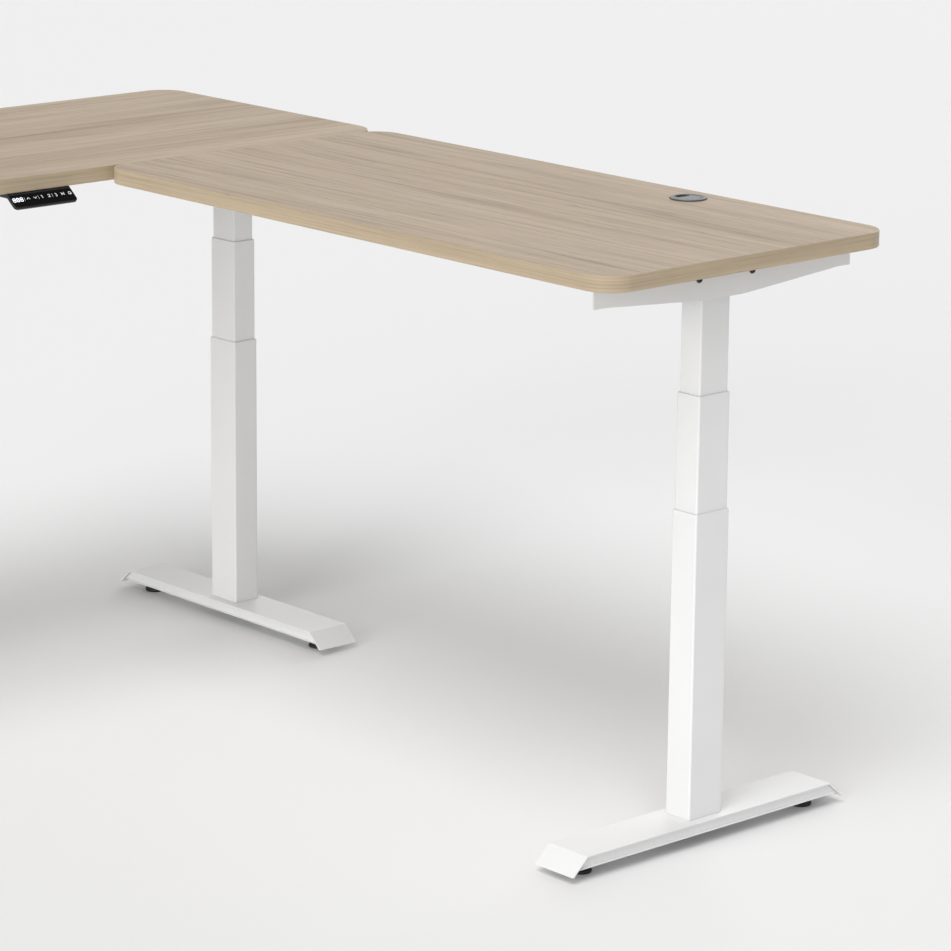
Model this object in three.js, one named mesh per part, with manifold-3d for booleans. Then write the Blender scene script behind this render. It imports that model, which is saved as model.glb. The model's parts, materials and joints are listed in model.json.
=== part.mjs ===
// An L-shaped electric standing desk: two oak boards on three telescopic three-stage legs.
// Millimetres, +Z up. The origin is on the floor, under the centre of the desk's outline.
// +X is the seated user's right, +Y points away from the user, who sits in the inner corner.
import * as THREE from "three";
import { mergeVertices } from "three/addons/utils/BufferGeometryUtils.js";
import Module from "manifold-3d";

const wasm = await Module();
wasm.setup();

// ---- Driving dimensions ----

// Touching pieces keep this gap.
const GAP = 0.3;

// Facets of a full turn on round pieces, and steps per half of a rounded corner.
const FACETS = { fine: 40, medium: 24, coarse: 16 };
const CORNER_STEPS = { board: 6, small: 2, key: 1 };

// Boards: the main board lies across the back, the return comes forward on the right.
const MAIN = { length: 1600, depth: 600 };
const RETURN = { width: 600, length: 1200 };
const BOARD = { thickness: 25, corner: 50, edge: 2 };
const SEAM_GAP = 0.6;
const DESK_HEIGHT = 933;

// Outline of the desk and the places derived from it.
const RIGHT = MAIN.length / 2;
const LEFT = -RIGHT;
const BACK = (MAIN.depth + RETURN.length) / 2;
const FRONT = -BACK;
const SEAM = BACK - MAIN.depth;
const UNDERSIDE = DESK_HEIGHT - BOARD.thickness;

// Leg centres, measured in from the edges of the boards.
const LEG_SIDE_INSET = 89;
const LEG_BACK_INSET = 302;
const END_LEG_INSET = 100;
const END_LEG_X = RIGHT - RETURN.width / 2;
const MAIN_LEG_Y = BACK - LEG_BACK_INSET;

// Column stages: rectangular tubes whose long side runs along the foot.
const TUBE_WALL = 1.5;
const TUBE_CORNER = 4;
const STAGE_LENGTH = 500;
const OUTER = { long: 71, short: 52, top: 525 };
const MIDDLE = { long: 66, short: 48, top: 707 };
const INNER = { long: 60.5, short: 43.5 };

// Foot: a folded sheet whose ends slope down, on two levelling glides.
const FOOT = { length: 590, width: 84, top: 40, flat: 529, tip: 12.5, sheet: 2.5 };
const FOOT_WALL = { inset: 2, bottom: 20 };
const FOOT_PLATE = { length: 150, width: 68, thickness: 3 };
const GLIDE = { offset: 240, radius: 18, rim: 5, crown: 9, hub: 9, stem: 5, top: 36.5, chamfer: 1.5 };
const GLIDE_BOSS = { radius: 9, bore: 5.4, bottom: 18 };

// Telescopic drive inside each column.
const POST = { radius: 15, bore: 12.3, top: 500, nutRadius: 19, nutHeight: 26 };
const HOLLOW_SPINDLE = { radius: 12, bore: 7.3, bottom: 190, top: 690 };
const UPPER_SCREW = { radius: 7, bottom: 340, collarRadius: 15, collarHeight: 8 };

// Side bracket: a folded sheet under the board. Its outer wall is deepest over the column, its
// flange lies against the board, and a lip stiffens the flange's inner edge.
const BRACKET = {
  length: 541, width: 80, sheet: 2.5, endDepth: 34, endFlat: 25, midDepth: 50, midFlat: 80, lip: 9,
};

// Gearbox under the bracket's flange, motor through a notch in its lip.
const GEARBOX = { length: 104, width: 70, height: 46, corner: 8, shift: 8 };
const MOTOR = { shift: 27, neck: 20, neckLength: 7, can: 28, canLength: 118, cap: 22, capLength: 9 };
const MOTOR_NOTCH_CLEARANCE = 2;

// Rails between the brackets.
const RAIL = { width: 50, height: 20, wall: 1.5, offset: 110, corner: 3 };
const RAIL_JOINT = { length: 280, flange: 43, thickness: 3 };
const SEAM_PLATE = { width: 50, length: 120, thickness: 2.5 };
const SEAM_PLATE_X = [275, 500];

// Control box between the main rails, with its sockets on the back.
const CONTROL_BOX = { x: -150, length: 200, width: 90, height: 28, corner: 6 };
const CONTROL_EAR = { length: 236, width: 44, thickness: 3 };
const SOCKET_DEPTH = 14;
const MOTOR_SOCKET = { width: 18, height: 11 };
const HANDSET_SOCKET = { width: 13, height: 9 };
const MAINS_INLET = { width: 26, height: 17 };
const SOCKETS = [
  { x: -76, ...MAINS_INLET },
  { x: -36, ...MOTOR_SOCKET },
  { x: -8, ...MOTOR_SOCKET },
  { x: 20, ...MOTOR_SOCKET },
  { x: 62, ...HANDSET_SOCKET },
];

// Handset under the front edge of the main board; its face slopes forward and down.
const HANDSET = { x: 73, width: 125, face: 30, slope: 38, rim: 4.5, corner: 7, depth: 46, baseHeight: 7 };
const HANDSET_EAR = { length: 148, width: 30, thickness: 2.5 };
const KEY_ROW = { below: 12.5, first: -28, pitch: 13.7 };
const KEY = { width: 12.4, height: 10.4, corner: 1.5, thickness: 2.4, proud: 0.5, pocket: 2.9 };
const DISPLAY = { x: -48, width: 23, height: 10.4, corner: 1.5, thickness: 1.6 };
const KEY_NAMES = [
  "key_up", "key_down", "key_memory_1", "key_memory_2", "key_memory_3", "key_memory_set", "key_reminder",
];

// Cable grommet in the outer front part of the return board.
const GROMMET = { sideInset: 57, frontInset: 384, hole: 25.3, flange: 30, flangeHeight: 2.5 };
const GROMMET_SLEEVE = { outer: 25, inner: 23, depth: 18 };
const GROMMET_LIP = { inner: 21, thickness: 1.5 };
const GROMMET_CAP = { radius: 22.7, thickness: 3, slotWidth: 26, slotStart: 8 };

// ---- Materials ----

const OAK = new THREE.MeshStandardMaterial({ color: 0xb8a894, roughness: 0.55, metalness: 0 });
const WHITE_STEEL = new THREE.MeshStandardMaterial({ color: 0xe9e9e9, roughness: 0.45, metalness: 0.1 });
const ZINC_STEEL = new THREE.MeshStandardMaterial({ color: 0xa9adb2, roughness: 0.35, metalness: 0.9 });
const CAST_ALUMINIUM = new THREE.MeshStandardMaterial({ color: 0x9a9da0, roughness: 0.5, metalness: 0.8 });
const BLACK_STEEL = new THREE.MeshStandardMaterial({ color: 0x202225, roughness: 0.5, metalness: 0.4 });
const BLACK_PLASTIC = new THREE.MeshStandardMaterial({ color: 0x17181a, roughness: 0.6, metalness: 0 });
const GLOSS_BLACK = new THREE.MeshStandardMaterial({ color: 0x0d0d10, roughness: 0.12, metalness: 0 });
const GREY_PLASTIC = new THREE.MeshStandardMaterial({ color: 0x55585c, roughness: 0.55, metalness: 0 });

// ---- Geometry helpers ----

function named(name, geometry, material) {
  const mesh = new THREE.Mesh(geometry, material);
  mesh.name = name;
  return mesh;
}

// A closed geometry as a solid for booleans.
function toSolid(geometry) {
  const bare = new THREE.BufferGeometry();
  bare.setAttribute("position", geometry.getAttribute("position"));
  if (geometry.index) {
    bare.setIndex(geometry.index);
  }
  const merged = mergeVertices(bare, 1e-3);
  const mesh = new wasm.Mesh({
    numProp: 3,
    vertProperties: merged.getAttribute("position").array,
    triVerts: new Uint32Array(merged.index.array),
  });
  return new wasm.Manifold(mesh);
}

function toGeometry(solid) {
  const mesh = solid.getMesh();
  const geometry = new THREE.BufferGeometry();
  geometry.setAttribute("position", new THREE.BufferAttribute(mesh.vertProperties, 3));
  geometry.setIndex(new THREE.BufferAttribute(mesh.triVerts, 1));
  geometry.computeVertexNormals();
  return geometry;
}

function join(...geometries) {
  const [first, ...others] = geometries.map(toSolid);
  return toGeometry(others.reduce((sum, other) => sum.add(other), first));
}

function cut(geometry, ...tools) {
  return toGeometry(tools.reduce((rest, tool) => rest.subtract(toSolid(tool)), toSolid(geometry)));
}

function common(geometry, other) {
  return toGeometry(toSolid(geometry).intersect(toSolid(other)));
}

// A box centred on x and y, from one height to another.
function block(length, width, bottom, top) {
  const geometry = new THREE.BoxGeometry(length, width, top - bottom);
  return geometry.translate(0, 0, (bottom + top) / 2);
}

function roundedRectangle(length, width, radius) {
  const x = length / 2 - radius;
  const y = width / 2 - radius;
  const shape = new THREE.Shape();
  shape.absarc(x, y, radius, 0, 0.5 * Math.PI);
  shape.absarc(-x, y, radius, 0.5 * Math.PI, Math.PI);
  shape.absarc(-x, -y, radius, Math.PI, 1.5 * Math.PI);
  shape.absarc(x, -y, radius, 1.5 * Math.PI, 2 * Math.PI);
  return shape;
}

function polygon(points) {
  return new THREE.Shape(points.map(([x, y]) => new THREE.Vector2(x, y)));
}

function prism(shape, bottom, top, steps = CORNER_STEPS.small) {
  const options = { depth: top - bottom, bevelEnabled: false, curveSegments: steps };
  return new THREE.ExtrudeGeometry(shape, options).translate(0, 0, bottom);
}

// A rectangular tube with rounded corners, standing on end.
function rectangularTube(length, width, wall, radius, bottom, top) {
  const shape = roundedRectangle(length, width, radius);
  shape.holes.push(roundedRectangle(length - 2 * wall, width - 2 * wall, radius - wall));
  return prism(shape, bottom, top);
}

// A turned piece about the Z axis; its profile is a list of [radius, height].
function turned(profile, facets) {
  const points = profile.map(([radius, height]) => new THREE.Vector2(radius, height));
  return new THREE.LatheGeometry(points, facets).rotateX(Math.PI / 2);
}

function turnedTube(outer, bore, bottom, top, facets) {
  const profile = [[bore, bottom], [outer, bottom], [outer, top], [bore, top], [bore, bottom]];
  return turned(profile, facets);
}

function disc(radius, bottom, top) {
  return turned([[0, bottom], [radius, bottom], [radius, top], [0, top]], FACETS.fine);
}

// Turns a prism drawn as (x, z) so that its length runs along y, centred.
function profileAcross(shape, width) {
  return prism(shape, -width / 2, width / 2).rotateX(Math.PI / 2);
}

// Turns a prism drawn as (y, z) so that its length runs along x, centred.
function profileAlong(shape, length) {
  const drawn = prism(shape, -length / 2, length / 2);
  const basis = new THREE.Matrix4().makeBasis(
    new THREE.Vector3(0, 1, 0),
    new THREE.Vector3(0, 0, 1),
    new THREE.Vector3(1, 0, 0),
  );
  return drawn.applyMatrix4(basis);
}

// ---- Boards ----

function board(length, width) {
  const options = {
    depth: BOARD.thickness - 2 * BOARD.edge,
    bevelEnabled: true,
    bevelThickness: BOARD.edge,
    bevelSize: BOARD.edge,
    bevelOffset: -BOARD.edge,
    bevelSegments: 2,
    curveSegments: CORNER_STEPS.board,
  };
  const outline = roundedRectangle(length, width, BOARD.corner);
  return new THREE.ExtrudeGeometry(outline, options).translate(0, 0, UNDERSIDE + BOARD.edge);
}

function grommetPlace() {
  return new THREE.Vector3(RIGHT - GROMMET.sideInset, FRONT + GROMMET.frontInset, 0);
}

function buildBoards() {
  const boards = new THREE.Group();

  const main = named("main_top", board(MAIN.length, MAIN.depth), OAK);
  main.position.set(0, BACK - MAIN.depth / 2, 0);

  const length = RETURN.length - SEAM_GAP;
  const centre = new THREE.Vector3(RIGHT - RETURN.width / 2, FRONT + length / 2, 0);
  const hole = disc(GROMMET.hole, UNDERSIDE - 1, DESK_HEIGHT + 1);
  hole.translate(...grommetPlace().sub(centre));
  const side = named("return_top", cut(board(RETURN.width, length), hole), OAK);
  side.position.copy(centre);

  boards.add(main, side);
  return boards;
}

// ---- Legs: each is built along X, with its outer face towards -Y ----

// Two bent ends and a flat top in one sheet, two side walls and two bosses for the glides.
function footGeometry() {
  const { length, width, top, flat, tip, sheet } = FOOT;
  const slopeRun = (length - flat) / 2;
  const slopeLength = Math.hypot(slopeRun, top - tip);
  const inner = flat / 2 - sheet * Math.tan(Math.atan2(top - tip, slopeRun) / 2);
  const wallRun = (sheet * slopeLength) / (top - tip);
  const outline = polygon([[-length / 2, tip], [length / 2, tip], [flat / 2, top], [-flat / 2, top]]);
  const hollow = polygon([
    [-length / 2 + wallRun, tip],
    [-length / 2 + wallRun, tip - 1],
    [length / 2 - wallRun, tip - 1],
    [length / 2 - wallRun, tip],
    [inner, top - sheet],
    [-inner, top - sheet],
  ]);
  const sheetPiece = cut(profileAcross(outline, width), profileAcross(hollow, width + 2));

  const wallY = width / 2 - FOOT_WALL.inset - sheet / 2;
  const reach = slopeRun * ((top - FOOT_WALL.bottom) / (top - tip));
  const wallOutline = polygon([
    [-flat / 2 - reach + wallRun / 2, FOOT_WALL.bottom],
    [flat / 2 + reach - wallRun / 2, FOOT_WALL.bottom],
    [inner, top - sheet / 2],
    [-inner, top - sheet / 2],
  ]);
  const walls = [-wallY, wallY].map((y) => profileAcross(wallOutline, sheet).translate(0, y, 0));

  const { radius, bore, bottom } = GLIDE_BOSS;
  const bosses = [-GLIDE.offset, GLIDE.offset].map((x) =>
    turnedTube(radius, bore, bottom, top - sheet / 2, FACETS.coarse).translate(x, 0, 0),
  );
  return join(sheetPiece, ...walls, ...bosses);
}

// A disc foot on a threaded stem, turned in or out to level the desk.
function glideGeometry() {
  const { radius, rim, crown, hub, stem, top, chamfer } = GLIDE;
  const profile = [[0, 0], [radius - chamfer, 0], [radius, chamfer], [radius, rim], [hub, crown],
    [stem, crown], [stem, top], [0, top]];
  return turned(profile, FACETS.medium);
}

function buildFoot(leg) {
  const foot = new THREE.Group();
  foot.add(named(`${leg}_foot`, footGeometry(), WHITE_STEEL));

  const plateTop = FOOT.top - FOOT.sheet - GAP;
  const plate = block(FOOT_PLATE.length, FOOT_PLATE.width, plateTop - FOOT_PLATE.thickness, plateTop);
  foot.add(named(`${leg}_foot_plate`, plate, ZINC_STEEL));

  for (const [end, side] of [["a", -1], ["b", 1]]) {
    const glide = named(`${leg}_glide_${end}`, glideGeometry(), BLACK_PLASTIC);
    glide.position.x = side * GLIDE.offset;
    foot.add(glide);
  }
  return foot;
}

function buildColumn(leg) {
  const column = new THREE.Group();
  const base = FOOT.top + GAP;
  const head = gearboxBottom() - GAP;
  const stages = [
    ["outer", OUTER, base, OUTER.top],
    ["middle", MIDDLE, MIDDLE.top - STAGE_LENGTH, MIDDLE.top],
    ["inner", INNER, head - STAGE_LENGTH, head],
  ];
  for (const [stage, { long, short }, bottom, top] of stages) {
    const tube = rectangularTube(long, short, TUBE_WALL, TUBE_CORNER, bottom, top);
    column.add(named(`${leg}_${stage}_tube`, tube, WHITE_STEEL));
  }
  return column;
}

// A post with the lower nut stands on the foot. The hollow spindle runs in that nut, and the
// upper screw, hung from the gearbox, runs in the hollow spindle.
function buildDrive(leg) {
  const drive = new THREE.Group();
  const nutBottom = POST.top - POST.nutHeight;
  const post = turned([
    [POST.bore, FOOT.top + GAP],
    [POST.radius, FOOT.top + GAP],
    [POST.radius, nutBottom],
    [POST.nutRadius, nutBottom],
    [POST.nutRadius, POST.top],
    [POST.bore, POST.top],
    [POST.bore, FOOT.top + GAP],
  ], FACETS.coarse);
  drive.add(named(`${leg}_nut_post`, post, ZINC_STEEL));

  const { radius, bore, bottom, top } = HOLLOW_SPINDLE;
  const spindle = turnedTube(radius, bore, bottom, top, FACETS.coarse);
  drive.add(named(`${leg}_hollow_spindle`, spindle, ZINC_STEEL));

  const head = gearboxBottom() - GAP;
  const collar = head - UPPER_SCREW.collarHeight;
  const screw = turned([
    [0, UPPER_SCREW.bottom],
    [UPPER_SCREW.radius, UPPER_SCREW.bottom],
    [UPPER_SCREW.radius, collar],
    [UPPER_SCREW.collarRadius, collar],
    [UPPER_SCREW.collarRadius, head],
    [0, head],
  ], FACETS.coarse);
  drive.add(named(`${leg}_upper_screw`, screw, ZINC_STEEL));
  return drive;
}

// The tapered outer wall, drawn as (x, z).
function bracketOutline() {
  const { length, endDepth, endFlat, midDepth, midFlat } = BRACKET;
  const end = length / 2;
  const shoulder = end - endFlat;
  const roof = UNDERSIDE - GAP;
  return polygon([
    [-end, UNDERSIDE - endDepth],
    [-shoulder, UNDERSIDE - endDepth],
    [-midFlat / 2, UNDERSIDE - midDepth],
    [midFlat / 2, UNDERSIDE - midDepth],
    [shoulder, UNDERSIDE - endDepth],
    [end, UNDERSIDE - endDepth],
    [end, roof],
    [-end, roof],
  ]);
}

function buildBracket(leg) {
  const { length, width, sheet, lip } = BRACKET;
  const roof = UNDERSIDE - GAP;
  const toEdge = (width - sheet) / 2;
  const wall = profileAcross(bracketOutline(), sheet).translate(0, -toEdge, 0);
  const flange = block(length, width, roof - sheet, roof);
  const innerLip = block(length, sheet, roof - lip, roof).translate(0, toEdge, 0);
  const notchHalf = MOTOR.neck + MOTOR_NOTCH_CLEARANCE;
  const notch = block(2 * notchHalf, 3 * sheet, roof - 2 * lip, motorHeight() + notchHalf);
  notch.translate(MOTOR.shift, toEdge, 0);
  return named(`${leg}_side_bracket`, cut(join(wall, flange, innerLip), notch), WHITE_STEEL);
}

function gearboxTop() {
  return UNDERSIDE - GAP - BRACKET.sheet - GAP;
}

function gearboxBottom() {
  return gearboxTop() - GEARBOX.height;
}

function motorHeight() {
  return UNDERSIDE - 1 - MOTOR.can;
}

function buildDriveHead(leg) {
  const head = new THREE.Group();
  const { length, width, corner, shift } = GEARBOX;
  const housing = prism(roundedRectangle(length, width, corner), gearboxBottom(), gearboxTop());
  const gearbox = named(`${leg}_gearbox`, housing, CAST_ALUMINIUM);
  gearbox.position.x = shift;
  head.add(gearbox);

  const { neck, neckLength, can, canLength, cap, capLength } = MOTOR;
  const canStart = neckLength;
  const canEnd = canStart + canLength;
  const profile = [[0, 0], [neck, 0], [neck, canStart], [can - 2, canStart], [can, canStart + 2],
    [can, canEnd - 2], [can - 2, canEnd], [cap, canEnd], [cap, canEnd + capLength], [0, canEnd + capLength]];
  const motor = named(`${leg}_motor`, turned(profile, FACETS.medium), BLACK_STEEL);
  motor.rotation.x = -Math.PI / 2;
  motor.position.set(MOTOR.shift, width / 2 + GAP, motorHeight());
  head.add(motor);
  return head;
}

function buildLeg(leg, x, y, turn) {
  const group = new THREE.Group();
  group.add(buildFoot(leg), buildColumn(leg), buildDrive(leg), buildBracket(leg), buildDriveHead(leg));
  group.position.set(x, y, 0);
  group.rotation.z = turn;
  return group;
}

// ---- Frame under the boards ----

function rail(name, length) {
  const { width, height, wall, corner } = RAIL;
  const tube = rectangularTube(width, height, wall, corner, -length / 2, length / 2);
  return named(name, tube.rotateX(Math.PI / 2), WHITE_STEEL);
}

function buildRails() {
  const rails = new THREE.Group();
  const height = UNDERSIDE - GAP - RAIL.height / 2;
  const bracketFace = BRACKET.width / 2 + GAP;

  const mainLength = 2 * (RIGHT - LEG_SIDE_INSET - bracketFace);
  for (const [name, side] of [["main_rail_front", -1], ["main_rail_back", 1]]) {
    const mainRail = rail(name, mainLength);
    mainRail.rotation.z = Math.PI / 2;
    mainRail.position.set(0, MAIN_LEG_Y + side * RAIL.offset, height);
    rails.add(mainRail);
  }

  const nearEnd = FRONT + END_LEG_INSET + bracketFace;
  const farEnd = railJointFace() - RAIL_JOINT.thickness - GAP;
  for (const [name, side] of [["return_rail_inner", -1], ["return_rail_outer", 1]]) {
    const returnRail = rail(name, farEnd - nearEnd);
    returnRail.position.set(END_LEG_X + side * RAIL.offset, (nearEnd + farEnd) / 2, height);
    rails.add(returnRail);
  }
  return rails;
}

// The plane of the front main rail that the return's rails are fixed to.
function railJointFace() {
  return MAIN_LEG_Y - RAIL.offset - RAIL.width / 2 - GAP;
}

function buildRailJoint() {
  const { length, flange, thickness } = RAIL_JOINT;
  const top = UNDERSIDE - GAP;
  const bottom = top - RAIL.height - GAP - thickness;
  const section = polygon([
    [0, bottom], [0, top], [-thickness, top], [-thickness, bottom + thickness],
    [-flange, bottom + thickness], [-flange, bottom],
  ]);
  const bracket = named("rail_joint_bracket", profileAlong(section, length), WHITE_STEEL);
  bracket.position.set(END_LEG_X, railJointFace(), 0);
  return bracket;
}

function buildSeamPlates() {
  const plates = new THREE.Group();
  const top = UNDERSIDE - GAP;
  SEAM_PLATE_X.forEach((x, index) => {
    const { width, length, thickness } = SEAM_PLATE;
    const outline = roundedRectangle(width, length, BOARD.edge * 3);
    const plate = named(`seam_plate_${index + 1}`, prism(outline, top - thickness, top), ZINC_STEEL);
    plate.position.set(x, SEAM, 0);
    plates.add(plate);
  });
  return plates;
}

function buildControlBox() {
  const { x, length, width, height, corner } = CONTROL_BOX;
  const top = UNDERSIDE - GAP;
  const body = prism(roundedRectangle(length, width, corner), top - height, top);
  const ears = prism(
    roundedRectangle(CONTROL_EAR.length, CONTROL_EAR.width, corner), top - CONTROL_EAR.thickness, top,
  );
  const mouths = SOCKETS.map((socket) => {
    const middle = top - CONTROL_EAR.thickness - (height - CONTROL_EAR.thickness) / 2;
    const mouth = block(socket.width, 2 * SOCKET_DEPTH, middle - socket.height / 2, middle + socket.height / 2);
    return mouth.translate(socket.x, width / 2, 0);
  });
  const box = named("control_box", cut(join(body, ears), ...mouths), BLACK_PLASTIC);
  box.position.set(x, MAIN_LEG_Y, 0);
  return box;
}

// ---- Handset ----

function keyX(index) {
  return KEY_ROW.first + index * KEY_ROW.pitch;
}

// The outline of the face with its two lower corners rounded, as a cutter square to the face.
function faceCutter(slope) {
  const { width, face, corner, depth } = HANDSET;
  const half = width / 2;
  const outline = new THREE.Shape();
  outline.moveTo(half, depth);
  outline.lineTo(-half, depth);
  outline.absarc(-half + corner, -face + corner, corner, Math.PI, 1.5 * Math.PI);
  outline.absarc(half - corner, -face + corner, corner, 1.5 * Math.PI, 2 * Math.PI);
  return prism(outline, -2 * depth, depth).rotateX(slope);
}

function pocket(slope, x, width, height, depth, corner) {
  const outline = roundedRectangle(width + 2 * GAP, height + 2 * GAP, corner + GAP);
  return prism(outline, -depth, 1, CORNER_STEPS.key).translate(x, -KEY_ROW.below, 0).rotateX(slope);
}

// The sloping face and a flat base behind it, with two ears screwed to the underside of the board.
function handsetHousing(slope) {
  const { width, face, rim, depth, baseHeight } = HANDSET;
  const lip = [-face * Math.cos(slope), -face * Math.sin(slope)];
  const heel = [lip[0] + rim * Math.sin(slope), lip[1] - rim * Math.cos(slope)];
  const top = BOARD.edge - GAP;
  const bottom = top - baseHeight;
  const elbow = [heel[0] + (bottom - heel[1]) / Math.tan(slope), bottom];
  const section = polygon([
    [0, 0], lip, heel, elbow, [depth, bottom], [depth, top], [BOARD.edge, top],
  ]);
  const body = common(profileAlong(section, width), faceCutter(slope));
  const ears = block(HANDSET_EAR.length, HANDSET_EAR.width, top - HANDSET_EAR.thickness, top);
  ears.translate(0, depth - HANDSET_EAR.width / 2, 0);
  const keyPockets = KEY_NAMES.map((_, index) =>
    pocket(slope, keyX(index), KEY.width, KEY.height, KEY.pocket, KEY.corner),
  );
  const window = pocket(
    slope, DISPLAY.x, DISPLAY.width, DISPLAY.height, DISPLAY.thickness + GAP, DISPLAY.corner,
  );
  return cut(join(body, ears), ...keyPockets, window);
}

function buildHandset() {
  const slope = THREE.MathUtils.degToRad(HANDSET.slope);
  const handset = new THREE.Group();
  handset.position.set(HANDSET.x, SEAM - GAP, UNDERSIDE - BOARD.edge);
  handset.add(named("handset_housing", handsetHousing(slope), GLOSS_BLACK));

  const face = new THREE.Group();
  face.rotation.x = slope;
  KEY_NAMES.forEach((name, index) => {
    const outline = roundedRectangle(KEY.width, KEY.height, KEY.corner);
    const key = named(name, prism(outline, KEY.proud - KEY.thickness, KEY.proud, CORNER_STEPS.key), GLOSS_BLACK);
    key.position.set(keyX(index), -KEY_ROW.below, 0);
    face.add(key);
  });
  const { x, width, height, corner, thickness } = DISPLAY;
  const glass = prism(roundedRectangle(width, height, corner), -thickness, 0, CORNER_STEPS.key);
  const display = named("handset_display", glass, GLOSS_BLACK);
  display.position.set(x, -KEY_ROW.below, 0);
  face.add(display);
  handset.add(face);
  return handset;
}

// ---- Cable grommet ----

function buildGrommet() {
  const grommet = new THREE.Group();
  grommet.position.copy(grommetPlace());

  const top = DESK_HEIGHT + GROMMET.flangeHeight;
  const seat = top - GROMMET_CAP.thickness - GAP;
  const underFlange = DESK_HEIGHT + GAP;
  const bottom = DESK_HEIGHT - GROMMET_SLEEVE.depth;
  const ring = turned([
    [GROMMET_SLEEVE.inner, bottom],
    [GROMMET_SLEEVE.outer, bottom],
    [GROMMET_SLEEVE.outer, underFlange],
    [GROMMET.flange, underFlange],
    [GROMMET.flange, top - 1],
    [GROMMET.flange - 1, top],
    [GROMMET_SLEEVE.inner, top],
    [GROMMET_SLEEVE.inner, seat],
    [GROMMET_LIP.inner, seat],
    [GROMMET_LIP.inner, seat - GROMMET_LIP.thickness],
    [GROMMET_SLEEVE.inner, seat - GROMMET_LIP.thickness],
    [GROMMET_SLEEVE.inner, bottom],
  ], FACETS.fine);
  grommet.add(named("grommet_ring", ring, GREY_PLASTIC));

  const { radius, thickness, slotWidth, slotStart } = GROMMET_CAP;
  const slot = block(slotWidth, radius, top - thickness - 1, top + 1).translate(0, slotStart + radius / 2, 0);
  grommet.add(named("grommet_cap", cut(disc(radius, top - thickness, top), slot), GREY_PLASTIC));
  return grommet;
}

// ---- The desk ----

const desk = new THREE.Group();
desk.add(
  buildBoards(),
  buildLeg("end_leg", END_LEG_X, FRONT + END_LEG_INSET, 0),
  buildLeg("corner_leg", RIGHT - LEG_SIDE_INSET, MAIN_LEG_Y, Math.PI / 2),
  buildLeg("left_leg", LEFT + LEG_SIDE_INSET, MAIN_LEG_Y, -Math.PI / 2),
  buildRails(),
  buildRailJoint(),
  buildSeamPlates(),
  buildControlBox(),
  buildHandset(),
  buildGrommet(),
);
export default desk;
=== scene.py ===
"""Looks of the L-shaped standing desk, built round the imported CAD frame. Metres, +Z up."""

import json
import math

import bmesh
import bpy
from mathutils import Matrix, Vector
from mathutils.geometry import tessellate_polygon

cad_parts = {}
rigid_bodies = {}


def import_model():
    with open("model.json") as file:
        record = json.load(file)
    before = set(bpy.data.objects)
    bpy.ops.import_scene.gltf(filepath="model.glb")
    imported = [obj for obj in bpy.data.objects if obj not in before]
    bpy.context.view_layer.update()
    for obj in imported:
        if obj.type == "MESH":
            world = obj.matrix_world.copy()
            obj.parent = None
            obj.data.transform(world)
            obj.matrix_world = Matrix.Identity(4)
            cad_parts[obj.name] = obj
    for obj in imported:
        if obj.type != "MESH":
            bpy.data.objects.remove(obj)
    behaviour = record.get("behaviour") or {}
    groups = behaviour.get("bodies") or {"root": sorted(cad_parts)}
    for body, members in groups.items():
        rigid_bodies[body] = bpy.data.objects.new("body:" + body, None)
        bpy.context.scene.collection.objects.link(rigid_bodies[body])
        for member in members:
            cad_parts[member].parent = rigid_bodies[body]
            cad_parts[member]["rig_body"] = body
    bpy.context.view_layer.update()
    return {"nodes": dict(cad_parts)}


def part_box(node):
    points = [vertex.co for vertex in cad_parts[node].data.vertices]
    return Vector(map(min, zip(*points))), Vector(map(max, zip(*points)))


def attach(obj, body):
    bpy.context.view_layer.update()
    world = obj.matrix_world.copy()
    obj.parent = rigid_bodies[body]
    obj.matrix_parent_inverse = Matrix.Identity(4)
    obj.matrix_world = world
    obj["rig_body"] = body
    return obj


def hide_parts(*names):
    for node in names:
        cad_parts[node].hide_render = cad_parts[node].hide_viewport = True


MM = 0.001

# Camera: its place, the way it looks (azimuth from +Y towards +X, tilt down, roll) and its lens
CAMERA_PLACE = Vector((-3.6584, -4.8951, 2.0546))
CAMERA_AZIMUTH = math.radians(42.083)
CAMERA_TILT = math.radians(14.269)
CAMERA_ROLL = math.radians(0.575)
CAMERA_LENS_MM = 150.56
CAMERA_SENSOR_MM = 36.0

# Lights: two tiers of key light from the left, a weaker low one from behind on the right, and a white dome.
# Each has an azimuth, an elevation and a spread, in degrees, and its strength
LIGHTS = {
    "key_low": (250, 14, 28, 1.28),
    "key_high": (240, 57, 40, 1.54),
    "rim": (62, 22, 50, 0.8),
}
WORLD_STRENGTH = 0.38
FLOOR_HALF = 30.0

# Legs are drawn along X with their outer face towards -Y, then turned
LEG_TURN = {"end_leg": 0.0, "corner_leg": math.pi / 2, "left_leg": -math.pi / 2}

# Boards
BOARD_CORNER = 50 * MM
BAND_THICKNESS = 2 * MM
BAND_ROUND = 1.6 * MM
BAND_STEP = 0.12 * MM
GROMMET_HOLE = 25.3 * MM

# Columns
TUBE_WALL = 1.5 * MM
TUBE_CORNER = 3.2 * MM
LINER_CLEARANCE = 0.12 * MM
LINER_DEPTH = 24 * MM
LINER_BELOW_RIM = 0.8 * MM

# Feet
FOOT_SHEET = 2.5 * MM
FOOT_SLOPE_RUN = 30.5 * MM
FOOT_TIP = 12.5 * MM
FOOT_BEND = 3.5 * MM
FOOT_WALL_INSET = 4.6 * MM
FOOT_WALL_BOTTOM = 20 * MM
FOOT_GROOVE = 1.6 * MM
FOOT_HEM = {"height": 2.6 * MM, "proud": 3.4 * MM}
BOSS_RADIUS = 9 * MM
BOSS_BORE = 5.4 * MM
BOSS_BOTTOM = 18 * MM
COLUMN_BOLTS = (24 * MM, 15 * MM)
GLIDE_THREAD = {"pitch": 1.25 * MM, "crest": 4.95 * MM, "root": 4.4 * MM, "start": 12 * MM}

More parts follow.
